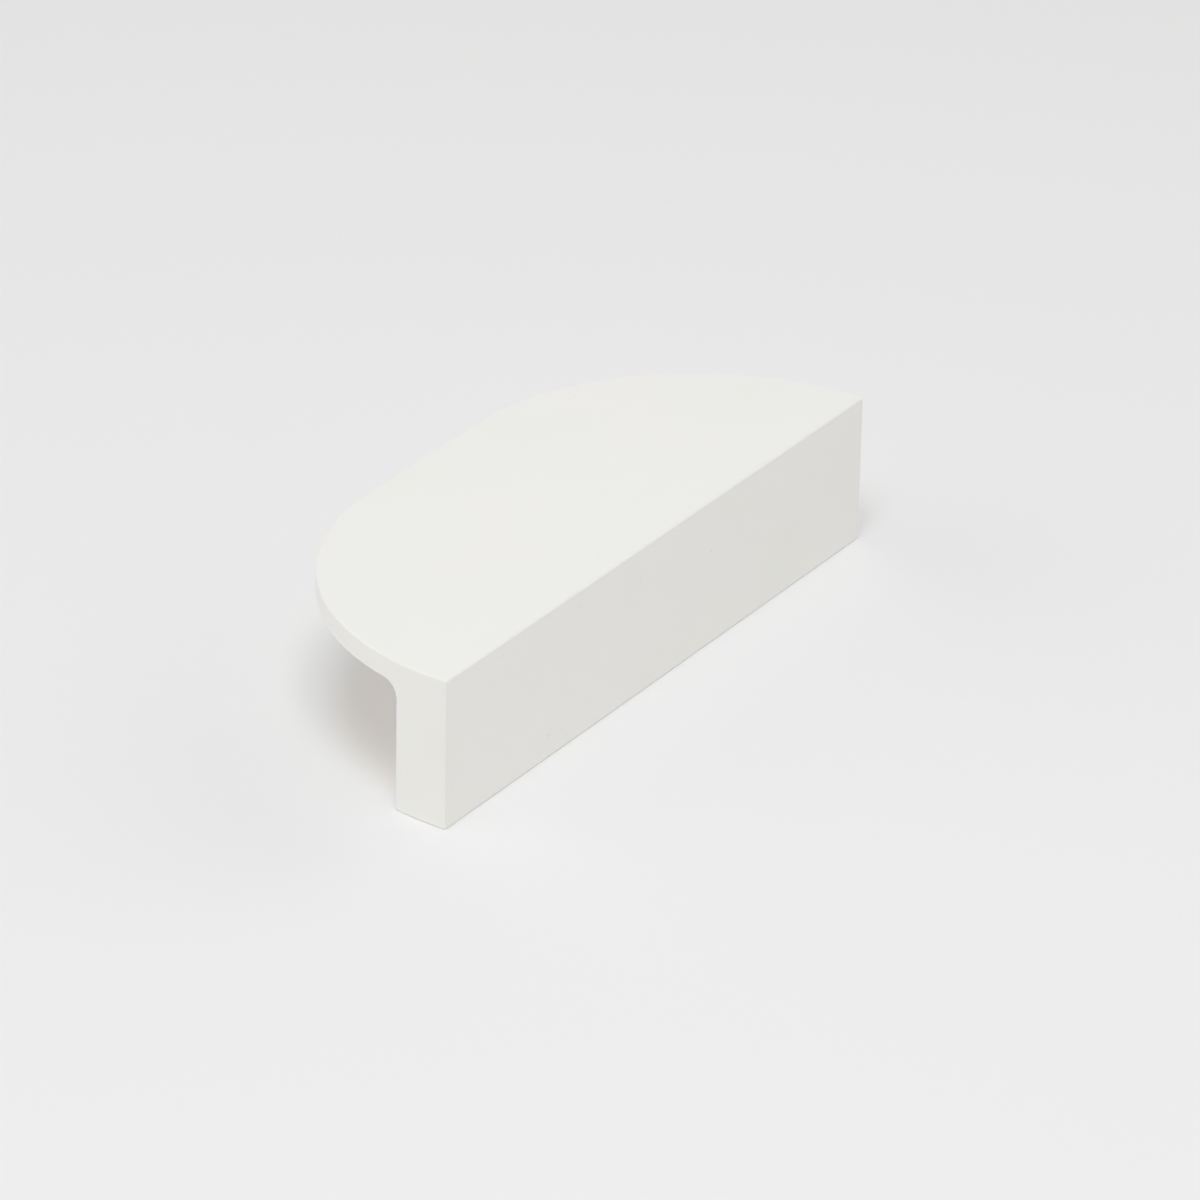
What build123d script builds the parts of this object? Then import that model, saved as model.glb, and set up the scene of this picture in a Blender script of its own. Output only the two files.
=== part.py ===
from build123d import *
from math import radians, tan
import os

# Door pull handle, cut from one piece of aluminium: a thick leg that stands on the door, and a thin plate
# that its top carries over the fingers. Millimetres. +Z points away from the door and the foot is at Z = 0.
# X runs along the handle, the flat outer face looks towards -Y, and the origin is on the foot, half way
# between the two fixing holes.

# Plan, seen from the front of the door: a straight outer face with a large round corner at each end
CORNER_RADIUS = 56.0
BACK_STRAIGHT = 38.0  # straight middle of the plate's rim, between the two round corners
END_STRAIGHT = 1.7  # straight start of each end, from the outer face to the round corner

# Section
HEIGHT = 32.5  # from the door to the plate's top
LEG_THICKNESS = 12.4
PLATE_THICKNESS = 4.9
ROOT_RADIUS = 3.5  # inner corner between the leg and the plate

# Broken edges
RIM_RADIUS = 0.5  # round the plate's top
EDGE_RADIUS = 0.3  # every other edge

# Two blind M4 holes in the foot, tapped for screws that come through the door
HOLE_INSET = 11.0  # from each end of the handle
THREAD_DIAMETER = 4.0
THREAD_PITCH = 0.7
THREAD_DEPTH = 11.0
DRILL_RUNOUT = 3.0  # how far the tapping drill goes on past the thread
DRILL_POINT_ANGLE = 118.0
MOUTH_CHAMFER = 0.4

length = BACK_STRAIGHT + 2 * CORNER_RADIUS
depth = END_STRAIGHT + CORNER_RADIUS
outer_face = -LEG_THICKNESS / 2
inner_face = LEG_THICKNESS / 2
plate_underside = HEIGHT - PLATE_THICKNESS
fixing_centres = length - 2 * HOLE_INSET
thread_radius = THREAD_DIAMETER / 2
drill_radius = (THREAD_DIAMETER - THREAD_PITCH) / 2
drill_depth = THREAD_DEPTH + DRILL_RUNOUT
drill_point_height = drill_radius / tan(radians(DRILL_POINT_ANGLE / 2))

foot = Plane(origin=(0, 0, 0), x_dir=(1, 0, 0), z_dir=(0, 0, -1))


def is_sharp(edge):
    """True where two faces of the handle meet at an angle of over a degree, not smoothly."""
    first, second = (face for face in pull_handle.faces() if edge in face.edges())
    return first.normal_at(edge @ 0.5).get_angle(second.normal_at(edge @ 0.5)) > 1


os.makedirs("parts", exist_ok=True)

with BuildPart() as pull_handle:
    # Block with the handle's plan
    with BuildSketch() as plan:
        with BuildLine():
            outer = Line((-length / 2, outer_face), (length / 2, outer_face))
            right_end = Line(outer @ 1, outer @ 1 + (0, END_STRAIGHT))
            right_corner = CenterArc(
                right_end @ 1 - (CORNER_RADIUS, 0), CORNER_RADIUS, start_angle=0, arc_size=90
            )
            back = Line(right_corner @ 1, right_corner @ 1 - (BACK_STRAIGHT, 0))
            left_corner = CenterArc(
                back @ 1 - (0, CORNER_RADIUS), CORNER_RADIUS, start_angle=90, arc_size=90
            )
            Line(left_corner @ 1, outer @ 0)
        make_face()
    extrude(amount=HEIGHT)

    # Finger recess, right through from end to end, with a round root
    with BuildSketch(Plane.YZ) as recess:
        with Locations((inner_face, 0)):
            Rectangle(depth, plate_underside, align=Align.MIN)
        fillet(recess.vertices().group_by(Axis.X)[0].sort_by(Axis.Y)[-1], ROOT_RADIUS)
    extrude(amount=length / 2, both=True, mode=Mode.SUBTRACT)

    # Every sharp edge is rounded, those of the top a little more than the others
    sharp_edges = pull_handle.edges().filter_by(is_sharp)
    fillet(sharp_edges - sharp_edges.group_by(Axis.Z)[-1], EDGE_RADIUS)
    fillet(pull_handle.edges().group_by(Axis.Z)[-1], RIM_RADIUS)

    # Blind fixing holes: a tapping drill with its pointed end, and the thread's full diameter above it
    with Locations(foot):
        with GridLocations(fixing_centres, 0, 2, 1):
            CounterSinkHole(
                thread_radius, thread_radius + MOUTH_CHAMFER, THREAD_DEPTH, counter_sink_angle=90
            )
            Hole(drill_radius, drill_depth)
        with Locations((0, 0, -drill_depth)):
            with GridLocations(fixing_centres, 0, 2, 1):
                Cone(
                    drill_radius,
                    0,
                    drill_point_height,
                    rotation=(180, 0, 0),
                    align=(Align.CENTER, Align.CENTER, Align.MIN),
                    mode=Mode.SUBTRACT,
                )

pull_handle.part.label = "pull_handle"
export_step(pull_handle.part, "parts/pull_handle.step")
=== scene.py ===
"""The looks of a one-piece door pull handle that stands on pale paper in soft studio light.

Everything is in metres in the part's own frame: +Z away from the door, X along the handle, the flat
outer face towards -Y, and the foot's plane at Z = 0. Names that end in _mm hold millimetres.
"""

import logging
import math
from dataclasses import dataclass
from enum import Enum

import bpy
import numpy as np
from mathutils import Matrix, Vector


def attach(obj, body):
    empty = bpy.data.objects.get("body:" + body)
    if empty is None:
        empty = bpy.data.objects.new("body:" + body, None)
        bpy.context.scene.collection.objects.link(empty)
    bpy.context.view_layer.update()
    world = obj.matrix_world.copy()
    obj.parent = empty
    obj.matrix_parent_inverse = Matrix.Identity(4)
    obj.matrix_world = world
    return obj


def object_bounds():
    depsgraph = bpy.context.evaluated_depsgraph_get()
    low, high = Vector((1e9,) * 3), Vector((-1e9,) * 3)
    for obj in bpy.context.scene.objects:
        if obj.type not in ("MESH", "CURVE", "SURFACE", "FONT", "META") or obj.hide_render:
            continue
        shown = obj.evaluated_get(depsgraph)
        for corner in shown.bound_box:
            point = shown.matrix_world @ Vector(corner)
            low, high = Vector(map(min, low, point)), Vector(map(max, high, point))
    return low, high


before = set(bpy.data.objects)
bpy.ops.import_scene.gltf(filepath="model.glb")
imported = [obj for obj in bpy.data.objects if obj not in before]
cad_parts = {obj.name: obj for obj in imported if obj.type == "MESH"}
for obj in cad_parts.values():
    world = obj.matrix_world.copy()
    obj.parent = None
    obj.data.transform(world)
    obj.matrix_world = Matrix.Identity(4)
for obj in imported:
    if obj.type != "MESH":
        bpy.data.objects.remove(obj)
CAD_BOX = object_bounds()

Tree = bpy.types.NodeTree
Socket = bpy.types.NodeSocket

MM = 0.001
SENSOR_WIDTH_MM = 36.0

# Each fixing hole's distance from the middle: half of their 128 mm centres
HOLE_X_MM = 64.0

# A Mix node of colours takes its share at input 0 and the two colours at 6 and 7, and gives its colour here
MIX_COLOUR = 2

log = logging.getLogger("pull_handle")


def linear(hex_colour: str) -> tuple[float, float, float, float]:
    """Turn an sRGB hex colour into the linear colour that the shaders take.

    The curve is that of the sRGB standard: a short straight foot, and a power of 2.4 above it.

    Args:
        hex_colour: six hex digits after a hash sign, such as "#F2F1EC".

    Returns:
        Linear red, green, blue and an alpha of one.
    """
    encoded = np.array([int(hex_colour[i : i + 2], 16) for i in (1, 3, 5)]) / 255
    red, green, blue = np.where(encoded <= 0.04045, encoded / 12.92, ((encoded + 0.055) / 1.055) ** 2.4)
    return float(red), float(green), float(blue), 1.0


def direction(bearing_deg: float, height_deg: float) -> Vector:
    """Turn a bearing and a height into a direction away from the handle.

    Args:
        bearing_deg: the direction in plan, counted from -Y towards -X.
        height_deg: the angle above the floor.

    Returns:
        The direction, with a length of one.
    """
    bearing, height = math.radians(bearing_deg), math.radians(height_deg)
    return Vector(
        (-math.sin(bearing) * math.cos(height), -math.cos(bearing) * math.cos(height), math.sin(height))
    )


def add(
    tree: Tree, kind: str, settings: dict[str, object] | None = None, **inputs: object
) -> bpy.types.Node:
    """Add one node to a tree, set it up and link it.

    Args:
        tree: the node tree that gets the node.
        kind: the node's type, such as "ShaderNodeMath".
        settings: attributes of the node itself, such as {"operation": "MULTIPLY"}.
        inputs: one entry per input, with spaces in its name written as underscores, or in_0, in_1 and so
            on by place. A socket is linked, and anything else becomes the input's own value.

    Returns:
        The new node.
    """
    node = tree.nodes.new(kind)
    for name, value in (settings or {}).items():
        setattr(node, name, value)
    for name, value in inputs.items():
        place = name.removeprefix("in_")
        socket = node.inputs[int(place) if place.isdigit() else name.replace("_", " ")]
        if isinstance(value, Socket):
            tree.links.new(value, socket)
        else:
            socket.default_value = value
    return node


def seen(tree: Tree) -> Socket:
    """Tell the rays that show a thing from those that light by it.

    Args:
        tree: the node tree that gets the nodes.

    Returns:
        One for a ray from the camera, of a sheen or through glass, and zero for any other.
    """
    rays = add(tree, "ShaderNodeLightPath").outputs
    shown = rays["Is Camera Ray"]
    for kind in ("Is Glossy Ray", "Is Transmission Ray"):
        shown = add(
            tree, "ShaderNodeMath", {"operation": "MAXIMUM"}, in_0=shown, in_1=rays[kind]
        ).outputs["Value"]
    return shown


def empty_material(name: str) -> tuple[bpy.types.Material, Tree, bpy.types.Node]:
    """Make a material that holds nothing but its output node.

    Args:
        name: the material's name.

    Returns:
        The material, its node tree and the output node.
    """
    material = bpy.data.materials.new(name)
    material.use_nodes = True
    material.node_tree.nodes.clear()
    return material, material.node_tree, material.node_tree.nodes.new("ShaderNodeOutputMaterial")


def mesh_object(name: str, points: np.ndarray, faces: np.ndarray) -> bpy.types.Object:
    """Put a flat-shaded mesh worked out with numpy into the scene, with its place in its vertices.

    Args:
        name: the object's name.
        points: one row of X, Y and Z per vertex.
        faces: one row of vertex numbers per face, which runs anticlockwise as seen from outside.

    Returns:
        The new object, at the origin.
    """
    mesh = bpy.data.meshes.new(name)
    mesh.from_pydata(points.tolist(), [], faces.tolist(), shade_flat=True)
    mesh.update()
    piece = bpy.data.objects.new(name, mesh)
    bpy.context.scene.collection.objects.link(piece)
    return piece


def wave_scale(spacing_mm: float) -> float:
    """Scale of a wave texture whose bands repeat at this spacing: the bands of scale 1 are pi / 10 apart."""
    return math.pi / 10 / (spacing_mm * MM)


class Side(Enum):
    """The two ends of the handle, each with a fixing hole. The value is the sign of X there."""

    NEAR = -1
    FAR = 1


@dataclass(frozen=True)
class BareAluminium:
    """Aluminium as the tap and the drill leave it: bright, with a soft sheen across the cut.

    The tools' real marks are about a tenth of a millimetre apart. They are drawn wider, so that they show.

    Attributes:
        colour: the metal's colour.
        roughness: how broad its sheen is.
        mark_mm: the distance from one tool mark to the next, along the hole.
        mark_depth_mm: how deep a mark is.
        mark_wander: how far the marks stray from even rings, in the wave texture's own measure.
        mark_detail: how many octaves of noise they stray by.
    """

    colour: str = "#D4D3D0"
    roughness: float = 0.34
    mark_mm: float = 0.35
    mark_depth_mm: float = 0.012
    mark_wander: float = 1.5
    mark_detail: float = 2.0

    def material(self) -> bpy.types.Material:
        """Build the metal, whose bump is the rings that a turning tool leaves along a hole.

        Returns:
            The material.
        """
        material, tree, output = empty_material("tapped_aluminium")
        place = add(tree, "ShaderNodeTexCoord").outputs["Object"]
        rings = add(
            tree,
            "ShaderNodeTexWave",
            {"wave_type": "BANDS", "bands_direction": "Z"},
            Vector=place,
            Scale=wave_scale(self.mark_mm),
            Distortion=self.mark_wander,
            Detail=self.mark_detail,
        )
        bump = add(
            tree,
            "ShaderNodeBump",
            Height=rings.outputs["Fac"],
            Strength=1.0,
            Distance=self.mark_depth_mm * MM,
        )
        metal = add(
            tree,
            "ShaderNodeBsdfPrincipled",
            Base_Color=linear(self.colour),
            Metallic=1.0,
            Roughness=self.roughness,
            Normal=bump.outputs["Normal"],
        )
        tree.links.new(metal.outputs["BSDF"], output.inputs["Surface"])
        return material


@dataclass(frozen=True)
class Nib:
    """One speck of dust under the coat: a dull point that a close look finds.

    Attributes:
        place_mm: where it lies on the handle.
        darkening: the share of the coat's colour that it takes away at its middle.
    """

    place_mm: tuple[float, float, float]
    darkening: float


@dataclass(frozen=True)
class PowderCoat:
    """Satin polyester powder coat, sprayed dry and cured: an even warm white with a broad, soft gloss.

    The cured film has a faint waviness, which blurs reflections, and a few dust nibs. The screw holes are
    plugged while the handle is sprayed, so that their walls stay bare aluminium. A real nib is a tenth or
    two of a millimetre across, and it is drawn wider and fainter, so that it shows.

    Attributes:
        bare: the metal of the plugged walls.
        colour: one of the two whites that the coat is mixed from.
        cloud_colour: the other one.
        cloud_mm: how large the soft clouds of the two whites are.
        cloud_detail: how many octaves of noise the clouds have.
        roughness: how broad the gloss is.
        film_ior: the film's index of refraction.
        wave_mm: how long the film's waves are.
        wave_depth_mm: how deep they are.
        wave_detail: how many octaves of noise they have.
        nib_radius_mm: how far a nib reaches from its middle.
        nib_height_mm: how far it stands out there.
        plug_radius_mm: the plugs' radius, which leaves the outer rim of each hole's chamfer coated.
        plug_depth_mm: how deep the bare walls go, which is past the point of the drill.
        nibs: the dust nibs, where the photo shows specks.
    """

    bare: BareAluminium
    colour: str = "#F2F1EE"
    cloud_colour: str = "#EFEFEA"
    cloud_mm: float = 30.0
    cloud_detail: float = 2.0
    roughness: float = 0.42
    film_ior: float = 1.5
    wave_mm: float = 1.4
    wave_depth_mm: float = 0.0015
    wave_detail: float = 1.0
    nib_radius_mm: float = 0.55
    nib_height_mm: float = 0.01
    plug_radius_mm: float = 2.3
    plug_depth_mm: float = 16.0
    nibs: tuple[Nib, ...] = (
        Nib((-39.5, -6.2, 4.8), 0.13),
        Nib((18.0, -6.2, 21.0), 0.11),
        Nib((-7.8, -6.2, 25.8), 0.10),
        Nib((-29.5, -6.2, 28.7), 0.07),
        Nib((24.5, -6.2, 10.8), 0.07),
        Nib((-35.4, -6.2, 4.3), 0.055),
        Nib((9.4, -6.2, 9.9), 0.05),
        Nib((-14.9, -0.9, 32.5), 0.07),
        Nib((41.0, 42.1, 32.5), 0.05),
        Nib((-31.0, -6.2, 20.3), 0.045),
        Nib((-59.8, -6.2, 24.8), 0.04),
        Nib((-74.1, 5.6, 30.6), 0.06),
    )

    def material(self) -> bpy.types.Material:
        """Build the coat and the bare walls of the holes, all on Object coordinates.

        Returns:
            The material.
        """
        material, tree, output = empty_material("satin_powder_coat")
        place = add(tree, "ShaderNodeTexCoord").outputs["Object"]
        left, height = self._nibs(tree, place)
        plugged = self._plugged(tree, place)
        colour = add(
            tree,
            "ShaderNodeMix",
            {"data_type": "RGBA"},
            in_0=plugged,
            in_6=self._white(tree, place, left),
            in_7=linear(self.bare.colour),
        ).outputs[MIX_COLOUR]
        roughness = add(
            tree,
            "ShaderNodeMapRange",
            Value=plugged,
            To_Min=self.roughness,
            To_Max=self.bare.roughness,
        ).outputs["Result"]
        surface = add(
            tree,
            "ShaderNodeBsdfPrincipled",
            Base_Color=colour,
            Metallic=plugged,
            Roughness=roughness,
            IOR=self.film_ior,
            Normal=self._relief(tree, place, height),
        )
        tree.links.new(surface.outputs["BSDF"], output.inputs["Surface"])
        return material

    def _white(self, tree: Tree, place: Socket, left: Socket) -> Socket:
        """Mix the coat's white in soft clouds and darken it at the nibs.

        Args:
            tree: the coat's node tree.
            place: Object coordinates.
            left: the share of the colour that the nibs leave.

        Returns:
            The colour.
        """
        clouds = add(
            tree,
            "ShaderNodeTexNoise",
            Vector=place,
            Scale=1 / (self.cloud_mm * MM),
            Detail=self.cloud_detail,
        )
        clouded = add(
            tree,
            "ShaderNodeMix",
            {"data_type": "RGBA"},
            in_0=clouds.outputs["Fac"],
            in_6=linear(self.colour),
            in_7=linear(self.cloud_colour),
        ).outputs[MIX_COLOUR]
        return add(
            tree,
            "ShaderNodeMix",
            {"data_type": "RGBA", "blend_type": "MULTIPLY"},
            in_0=1.0,
            in_6=clouded,
            in_7=left,
        ).outputs[MIX_COLOUR]

    def _relief(self, tree: Tree, place: Socket, height: Socket) -> Socket:
        """Tilt the surface by the film's faint waves, and by the nibs on top of them.

        Args:
            tree: the coat's node tree.
            place: Object coordinates.
            height: the nibs' height, from 0 to 1.

        Returns:
            The tilted normal.
        """
        waves = add(
            tree,
            "ShaderNodeTexNoise",
            Vector=place,
            Scale=1 / (self.wave_mm * MM),
            Detail=self.wave_detail,
        )
        film = add(
            tree,
            "ShaderNodeBump",
            Height=waves.outputs["Fac"],
            Strength=1.0,
            Distance=self.wave_depth_mm * MM,
        )
        return add(
            tree,
            "ShaderNodeBump",
            Height=height,
            Strength=1.0,
            Distance=self.nib_height_mm * MM,
            Normal=film.outputs["Normal"],
        ).outputs["Normal"]

    def _nibs(self, tree: Tree, place: Socket) -> tuple[Socket, Socket]:
        """Add the dust nibs, each a smooth falloff with the distance from its middle.

        Args:
            tree: the coat's node tree.
            place: Object coordinates.

        Returns:
            The share of the colour that is left, and the height, from 0 to 1, of the nibs together.
        """
        left, height = 1.0, 0.0
        for nib in self.nibs:
            distance = add(
                tree,
                "ShaderNodeVectorMath",
                {"operation": "DISTANCE"},
                in_0=place,
                in_1=Vector(nib.place_mm) * MM,
            ).outputs["Value"]
            hump = add(
                tree,
                "ShaderNodeMapRange",
                {"interpolation_type": "SMOOTHSTEP"},
                Value=distance,
                From_Max=self.nib_radius_mm * MM,
                To_Min=1.0,
                To_Max=0.0,
            ).outputs["Result"]
            kept = add(
                tree,
                "ShaderNodeMath",
                {"operation": "MULTIPLY_ADD"},
                in_0=hump,
                in_1=-nib.darkening,
                in_2=1.0,
            ).outputs["Value"]
            left = add(
                tree, "ShaderNodeMath", {"operation": "MULTIPLY"}, in_0=left, in_1=kept
            ).outputs["Value"]
            height = add(
                tree, "ShaderNodeMath", {"operation": "MAXIMUM"}, in_0=height, in_1=hump
            ).outputs["Value"]
        return left, height

    def _plugged(self, tree: Tree, place: Socket) -> Socket:
        """Find the walls that the plugs kept bare: inside a cylinder about either hole's axis.

        Args:
            tree: the coat's node tree.
            place: Object coordinates.

        Returns:
            One inside either cylinder and zero on the coat.
        """
        folded = add(tree, "ShaderNodeVectorMath", {"operation": "ABSOLUTE"}, in_0=place).outputs["Vector"]
        from_hole = add(
            tree,
            "ShaderNodeVectorMath",
            {"operation": "SUBTRACT"},
            in_0=folded,
            in_1=(HOLE_X_MM * MM, 0.0, 0.0),
        ).outputs["Vector"]
        in_plan = add(
            tree, "ShaderNodeVectorMath", {"operation": "MULTIPLY"}, in_0=from_hole, in_1=(1.0, 1.0, 0.0)
        ).outputs["Vector"]
        radius = add(tree, "ShaderNodeVectorMath", {"operation": "LENGTH"}, in_0=in_plan).outputs["Value"]
        near_axis = add(
            tree, "ShaderNodeMath", {"operation": "LESS_THAN"}, in_0=radius, in_1=self.plug_radius_mm * MM
        ).outputs["Value"]
        height = add(tree, "ShaderNodeSeparateXYZ", in_0=folded).outputs["Z"]
        low = add(
            tree, "ShaderNodeMath", {"operation": "LESS_THAN"}, in_0=height, in_1=self.plug_depth_mm * MM
        ).outputs["Value"]
        return add(
            tree, "ShaderNodeMath", {"operation": "MULTIPLY"}, in_0=near_axis, in_1=low
        ).outputs["Value"]


@dataclass(frozen=True)
class StudioPaper:
    """Heavy matt paper under the handle: neutral, dull and without a grain that shows at this distance.

    To the camera, and in a sheen, a share of it is the plain pale grey of the room's horizon. It lifts the
    shadows as the backdrop of a retouched picture is lifted, and the rest of the paper keeps them. Under the
    handle's plate a warm tint is painted into its colours: painted bounce light, standing in for light that
    has been off the coat several times.

    Attributes:
        colour: the paper's own colour, which also lights the handle from below.
        roughness: how dull it is.
        horizon_colour: the pale grey of the room's horizon.
        horizon_share: how much of that grey the paper has to the camera.
        painted_bounce_tint: the painted warm bounce light, which the colours are multiplied by well under
            the plate.
        plate_corner_mm: the radius of the plate's two round corners.
        tint_inside_mm: how far inside the plate's rim the painted bounce tint is at its full.
        tint_past_mm: how far past the rim it ends.
    """

    colour: str = "#F2F2F2"
    roughness: float = 0.9
    horizon_colour: str = "#E6E6E6"
    horizon_share: float = 0.255
    painted_bounce_tint: str = "#FFFBF7"
    plate_corner_mm: float = 56.0
    tint_inside_mm: float = 12.0
    tint_past_mm: float = 1.0

    def material(self) -> bpy.types.Material:
        """Build the paper, which a camera below it sees through so that the foot can be looked at.

        Returns:
            The material.
        """
        material, tree, output = empty_material("studio_paper")
        # painted bounce light: under the plate the paper's colour and its horizon grey are tinted warm
        under_plate = self._under_plate(tree)
        paper = add(
            tree,
            "ShaderNodeBsdfPrincipled",
            Base_Color=self._paint_bounce_tint(tree, self.colour, under_plate),
            Roughness=self.roughness,
            Specular_IOR_Level=0.0,
        ).outputs["BSDF"]
        horizon = self._paint_bounce_tint(tree, self.horizon_colour, under_plate)
        pale = add(tree, "ShaderNodeEmission", Color=horizon, Strength=1.0).outputs["Emission"]
        share = add(
            tree, "ShaderNodeMath", {"operation": "MULTIPLY"}, in_0=seen(tree), in_1=self.horizon_share
        ).outputs["Value"]
        lifted = add(tree, "ShaderNodeMixShader", in_0=share, in_1=paper, in_2=pale).outputs["Shader"]
        clear = add(tree, "ShaderNodeBsdfTransparent").outputs["BSDF"]
        back = add(tree, "ShaderNodeNewGeometry").outputs["Backfacing"]
        looked_at = add(tree, "ShaderNodeLightPath").outputs["Is Camera Ray"]
        seen_from_below = add(
            tree, "ShaderNodeMath", {"operation": "MULTIPLY"}, in_0=back, in_1=looked_at
        ).outputs["Value"]
        mixed = add(tree, "ShaderNodeMixShader", in_0=seen_from_below, in_1=lifted, in_2=clear)
        tree.links.new(mixed.outputs["Shader"], output.inputs["Surface"])
        return material

    def _paint_bounce_tint(self, tree: Tree, colour: str, under_plate: Socket) -> Socket:
        """Paint the warm tint of bounce light into a colour where it lies under the handle's plate.

        Args:
            tree: the paper's node tree.
            colour: the colour in the open, as sRGB hex.
            under_plate: one well under the plate and zero in the open.

        Returns:
            The colour.
        """
        # painted warm bounce light, multiplied into the colour under the plate
        return add(
            tree,
            "ShaderNodeMix",
            {"data_type": "RGBA", "blend_type": "MULTIPLY"},
            in_0=under_plate,
            in_6=linear(colour),
            in_7=linear(self.painted_bounce_tint),
        ).outputs[MIX_COLOUR]

    def _under_plate(self, tree: Tree) -> Socket:
        """Find how far under the handle's plate the paper is.

        The plate's outline behind the outer face is every point within a corner's radius of the straight
        line between the middles of its two round corners, so the distance from that line tells the depth.

        Args:
            tree: the paper's node tree.

        Returns:
            One well under the plate, falling to zero just past its rim and in front of the handle.
        """
        corner = self.plate_corner_mm * MM
        half_line = CAD_BOX[1].x - corner
        line_y = CAD_BOX[1].y - corner
        place = add(tree, "ShaderNodeTexCoord").outputs["Object"]
        axes = add(tree, "ShaderNodeSeparateXYZ", in_0=place).outputs
        along = add(tree, "ShaderNodeMath", {"operation": "ABSOLUTE"}, in_0=axes["X"]).outputs["Value"]
        beyond = add(
            tree, "ShaderNodeMath", {"operation": "SUBTRACT"}, in_0=along, in_1=half_line
        ).outputs["Value"]
        past = add(tree, "ShaderNodeMath", {"operation": "MAXIMUM"}, in_0=beyond, in_1=0.0).outputs["Value"]
        across = add(
            tree, "ShaderNodeMath", {"operation": "SUBTRACT"}, in_0=axes["Y"], in_1=line_y
        ).outputs["Value"]
        arm = add(tree, "ShaderNodeCombineXYZ", in_0=past, in_1=across).outputs["Vector"]
        reach = add(tree, "ShaderNodeVectorMath", {"operation": "LENGTH"}, in_0=arm).outputs["Value"]
        depth = add(
            tree,
            "ShaderNodeMapRange",
            {"interpolation_type": "SMOOTHSTEP"},
            Value=reach,
            From_Min=corner - self.tint_inside_mm * MM,
            From_Max=corner + self.tint_past_mm * MM,
            To_Min=1.0,
            To_Max=0.0,
        ).outputs["Result"]
        behind = add(
            tree, "ShaderNodeMath", {"operation": "GREATER_THAN"}, in_0=axes["Y"], in_1=0.0
        ).outputs["Value"]
        return add(
            tree, "ShaderNodeMath", {"operation": "MULTIPLY"}, in_0=depth, in_1=behind
        ).outputs["Value"]


@dataclass
class FixingThread:
    """The M4 thread in one fixing hole, as a ridge that winds along the hole's wall.

    The solid's hole has the thread's full diameter, so the ridge stands on its wall and reaches inwards to
    the thread's core. Its root is a little inside the wall, so that no gap shows.

    Attributes:
        side: the end of the handle that the hole is in.
        pitch_mm: the rise of one turn.
        full_radius_mm: the radius of the hole's wall.
        core_radius_mm: the radius of the ridge's crest.
        root_sink_mm: how far the root lies inside the wall.
        start_mm: where the ridge starts above the foot's plane.
        end_mm: where it ends.
        crest_share: the crest's width, as a share of the pitch.
        root_share: the root's width, as a share of the pitch.
        fade_turns: how many turns the crest takes to rise from the wall, and to sink into it.
        steps_per_turn: how many places along one turn have points.
    """

    side: Side
    pitch_mm: float = 0.7
    full_radius_mm: float = 2.0
    core_radius_mm: float = 1.62
    root_sink_mm: float = 0.02
    start_mm: float = 0.45
    end_mm: float = 10.9
    crest_share: float = 0.25
    root_share: float = 0.875
    fade_turns: float = 0.6
    steps_per_turn: int = 48

    def build(self) -> bpy.types.Object:
        """Build the ridge.

        A trapezium in the plane of the hole's axis is carried along a helix: at turn t its middle stands at
        height start + pitch t and angle 2 pi t. Its crest, at the core's radius, is a quarter of the pitch
        wide, and its root, in the wall, seven eighths, as a metric thread has them. At both ends, over the
        fade's turns, the crest sinks into the wall by the smooth step 3 f^2 - 2 f^3 of the share f that is
        left, as a tap leaves it.

        Returns:
            The ridge as a closed mesh.
        """
        turns = (self.end_mm - self.start_mm) / self.pitch_mm - self.root_share
        count = int(round(turns * self.steps_per_turn)) + 1
        turn = np.linspace(0, turns, count)
        fade = np.clip(np.minimum(turn, turns - turn) / self.fade_turns, 0, 1)
        rise = fade * fade * (3 - 2 * fade)
        root = np.full(count, self.full_radius_mm + self.root_sink_mm)
        crest = self.full_radius_mm - rise * (self.full_radius_mm - self.core_radius_mm)
        half_crest, half_root = self.crest_share * self.pitch_mm / 2, self.root_share * self.pitch_mm / 2
        middle = self.start_mm + half_root + self.pitch_mm * turn
        radius = np.stack([root, crest, crest, root], axis=1)
        height = middle[:, None] + np.array([-half_root, -half_crest, half_crest, half_root])
        angle = 2 * np.pi * turn[:, None]
        across = self.side.value * HOLE_X_MM + radius * np.cos(angle)
        points = np.stack([across, radius * np.sin(angle), height], axis=-1) * MM
        name = f"fixing_thread_{self.side.name.lower()}"
        return mesh_object(name, points.reshape(-1, 3), self._faces(*radius.shape))

    def _faces(self, count: int, corners: int) -> np.ndarray:
        """Join the ridge's sections: four-sided walls from each to the next, and a cap at either end.

        Args:
            count: how many sections there are.
            corners: how many corners a section has, which is four.

        Returns:
            One row of vertex numbers per face.
        """
        corner = np.arange(corners)
        after = (corner + 1) % corners
        start = corners * np.arange(count - 1)[:, None]
        following = start + corners
        walls = np.stack([start + corner, start + after, following + after, following + corner], axis=-1)
        caps = np.stack([corner[::-1], corners * (count - 1) + corner])
        return np.concatenate([walls.reshape(-1, corners), caps])


@dataclass
class PullHandle:
    """The handle itself: the part's own solid with its coat, and the two tapped holes in its foot.

    Attributes:
        coat: the finish of the whole solid.
        bare: the finish of the threads.
        node: the solid's node.
        body: the body that the threads belong to.
    """

    coat: PowderCoat
    bare: BareAluminium
    node: str = "pull_handle"
    body: str = "root"

    def dress(self) -> None:
        """Give the solid its powder coat and line its fixing holes with their threads."""
        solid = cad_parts[self.node]
        solid.data.materials.clear()
        solid.data.materials.append(self.coat.material())
        log.info("%s carries the powder coat", self.node)
        tapped = self.bare.material()
        for side in Side:
            thread = FixingThread(side).build()
            thread.data.materials.append(tapped)
            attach(thread, self.body)
            log.info("%s has %d faces", thread.name, len(thread.data.polygons))


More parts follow.
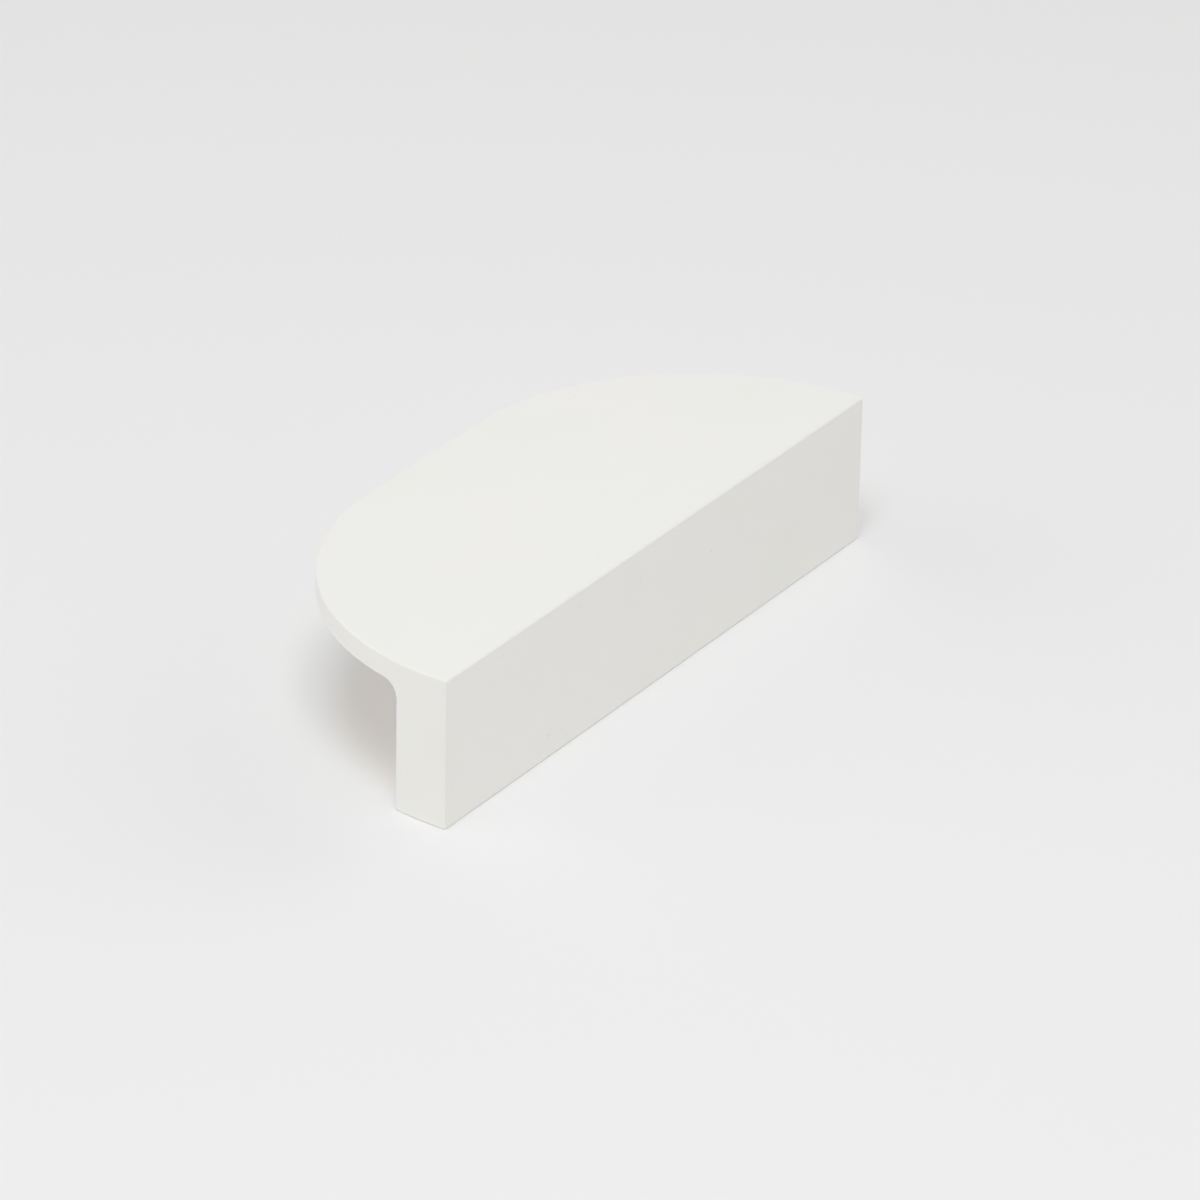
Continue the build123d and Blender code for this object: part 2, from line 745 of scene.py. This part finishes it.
@dataclass(frozen=True)
class SoftLamp:
    """A square softbox that looks at the handle.

    Attributes:
        name: the lamp's name.
        bearing_deg: where it stands in plan, counted from -Y towards -X.
        height_deg: how far above the floor it stands, as seen from the handle.
        distance: from the handle to the lamp.
        width: the side of its square.
        level: what a white surface that faces it renders at by its light alone.
    """

    name: str
    bearing_deg: float
    height_deg: float
    distance: float
    width: float
    level: float

    def place(self, aim: Vector) -> bpy.types.Object:
        """Make the lamp and turn it to a point.

        Its power comes from the level: a white surface at distance d renders at power / (pi d)^2.

        Args:
            aim: the point that the lamp looks at.

        Returns:
            The lamp.
        """
        away = direction(self.bearing_deg, self.height_deg)
        light = bpy.data.lights.new(self.name, "AREA")
        light.shape = "SQUARE"
        light.size = self.width
        light.energy = self.level * (math.pi * self.distance) ** 2
        lamp = bpy.data.objects.new(self.name, light)
        lamp.location = aim + away * self.distance
        lamp.rotation_mode = "QUATERNION"
        lamp.rotation_quaternion = away.to_track_quat("Z", "Y")
        bpy.context.scene.collection.objects.link(lamp)
        return lamp


@dataclass(frozen=True)
class LitWall:
    """The glow of one lit stretch of the room's white walls, brightest at its middle.

    Attributes:
        bearing_deg: where its middle stands in plan, counted from -Y towards -X.
        level: what a white surface that faces it renders at by its light alone.
        height_deg: how far above the floor its middle is, as seen from the handle.
        focus: the power of the cosine by which the glow falls off to its sides.
    """

    bearing_deg: float
    level: float
    height_deg: float = 8.0
    focus: float = 4.0

    def glow(self, tree: Tree, looking: Socket) -> Socket:
        """Add the wall's brightness in each direction to a world's tree.

        A surface that faces a glow of cosine to the power n renders at 2 / (n + 2) of its middle.

        Args:
            tree: the world's node tree.
            looking: the direction that is looked in.

        Returns:
            The brightness.
        """
        cosine = add(
            tree,
            "ShaderNodeVectorMath",
            {"operation": "DOT_PRODUCT"},
            in_0=looking,
            in_1=direction(self.bearing_deg, self.height_deg),
        ).outputs["Value"]
        ahead = add(tree, "ShaderNodeMath", {"operation": "MAXIMUM"}, in_0=cosine, in_1=0.0).outputs["Value"]
        falloff = add(
            tree, "ShaderNodeMath", {"operation": "POWER"}, in_0=ahead, in_1=self.focus
        ).outputs["Value"]
        middle = self.level * (self.focus + 2) / 2
        return add(
            tree, "ShaderNodeMath", {"operation": "MULTIPLY"}, in_0=falloff, in_1=middle
        ).outputs["Value"]


@dataclass(frozen=True)
class PhotoCamera:
    """The camera where the photograph was taken from.

    Attributes:
        bearing_deg: where it stands in plan, counted from -Y towards -X.
        height_deg: how far it looks down.
        roll_deg: how far the picture is turned, clockwise.
        distance: from the lens to the point of the floor in the picture's middle.
        middle_mm: that point.
        lens_mm: the focal length on a sensor of SENSOR_WIDTH_MM.
    """

    bearing_deg: float = 56.976
    height_deg: float = 27.751
    roll_deg: float = -1.156
    distance: float = 1.5496
    middle_mm: tuple[float, float, float] = (21.22, 22.05, 0.0)
    lens_mm: float = 229.14

    def place(self) -> None:
        """Make the camera and hand it to the scene."""
        away = direction(self.bearing_deg, self.height_deg)
        data = bpy.data.cameras.new("photo_camera")
        data.sensor_width = SENSOR_WIDTH_MM
        data.lens = self.lens_mm
        camera = bpy.data.objects.new("photo_camera", data)
        level = away.to_track_quat("Z", "Y").to_matrix().to_4x4()
        rolled = level @ Matrix.Rotation(math.radians(-self.roll_deg), 4, "Z")
        camera.matrix_world = Matrix.Translation(Vector(self.middle_mm) * MM + away * self.distance) @ rolled
        bpy.context.scene.collection.objects.link(camera)
        bpy.context.scene.camera = camera


@dataclass(frozen=True)
class Studio:
    """A table of pale paper in a room with lit white walls, with two softboxes above it and the camera.

    Attributes:
        paper: the finish of the table.
        camera: the camera.
        wall_colour: the colour of the walls' light, which has come off warm white paint.
        lamp_colour: the colour of the softboxes' light, a little cooler.
        table_radius: how far the paper reaches.
        table_corners: how many corners its round rim has.
        table_drop_mm: how far it lies below the foot's plane, so that the two never share one plane.
        lamps: the softboxes.
        walls: the lit walls.
    """

    paper: StudioPaper
    camera: PhotoCamera
    wall_colour: str = "#FFFDFB"
    lamp_colour: str = "#FBFDFF"
    table_radius: float = 3.0
    table_corners: int = 96
    table_drop_mm: float = 0.05
    lamps: tuple[SoftLamp, ...] = (
        SoftLamp("key_softbox", bearing_deg=60.0, height_deg=65.0, distance=1.8, width=0.8, level=0.475),
        SoftLamp("overhead_softbox", bearing_deg=0.0, height_deg=90.0, distance=0.9, width=0.6, level=0.073),
    )
    walls: tuple[LitWall, ...] = (
        LitWall(bearing_deg=0.0, level=0.234),
        LitWall(bearing_deg=90.0, level=0.126),
        LitWall(bearing_deg=135.0, level=0.20, height_deg=40.0),
        LitWall(bearing_deg=150.0, level=0.359),
        LitWall(bearing_deg=270.0, level=0.421),
        LitWall(bearing_deg=300.0, level=0.282),
    )

    def build(self) -> None:
        """Lay the paper, light it and set up the camera."""
        self._table()
        self._room()
        aim = (CAD_BOX[0] + CAD_BOX[1]) / 2
        for lamp in self.lamps:
            lamp.place(aim).data.color = linear(self.lamp_colour)[:3]
            log.info("%s renders white at %.2f", lamp.name, lamp.level)
        self.camera.place()
        bpy.context.scene.view_settings.view_transform = "Standard"

    def _table(self) -> None:
        """Lay the paper: one flat disc, its rim points at even angles, a hair below the foot's plane."""
        angle = np.linspace(0, 2 * np.pi, self.table_corners, endpoint=False)
        rim = np.stack([np.cos(angle), np.sin(angle), np.zeros_like(angle)], axis=1) * self.table_radius
        rim[:, 2] = -self.table_drop_mm * MM
        table = mesh_object("studio_paper", rim, np.arange(self.table_corners)[None])
        table.data.materials.append(self.paper.material())
        log.info("%s is %.0f m across", table.name, 2 * self.table_radius)

    def _room(self) -> None:
        """Light from the room's walls, and a pale horizon where a view looks past the paper."""
        world = bpy.data.worlds.new("white_room")
        bpy.context.scene.world = world
        world.use_nodes = True
        tree = world.node_tree
        tree.nodes.clear()
        looking = add(tree, "ShaderNodeTexCoord").outputs["Generated"]
        glow = 0.0
        for wall in self.walls:
            glow = add(
                tree, "ShaderNodeMath", {"operation": "ADD"}, in_0=glow, in_1=wall.glow(tree, looking)
            ).outputs["Value"]
        light = add(
            tree, "ShaderNodeBackground", Color=linear(self.wall_colour), Strength=glow
        ).outputs["Background"]
        pale = add(
            tree, "ShaderNodeBackground", Color=linear(self.paper.horizon_colour), Strength=1.0
        ).outputs["Background"]
        room = add(tree, "ShaderNodeMixShader", in_0=seen(tree), in_1=light, in_2=pale).outputs["Shader"]
        add(tree, "ShaderNodeOutputWorld", Surface=room)


def main() -> None:
    """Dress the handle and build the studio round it."""
    logging.basicConfig(level=logging.INFO, format="%(name)s: %(message)s")
    bare = BareAluminium()
    PullHandle(PowderCoat(bare), bare).dress()
    Studio(StudioPaper(), PhotoCamera()).build()


if __name__ == "__main__":
    main()
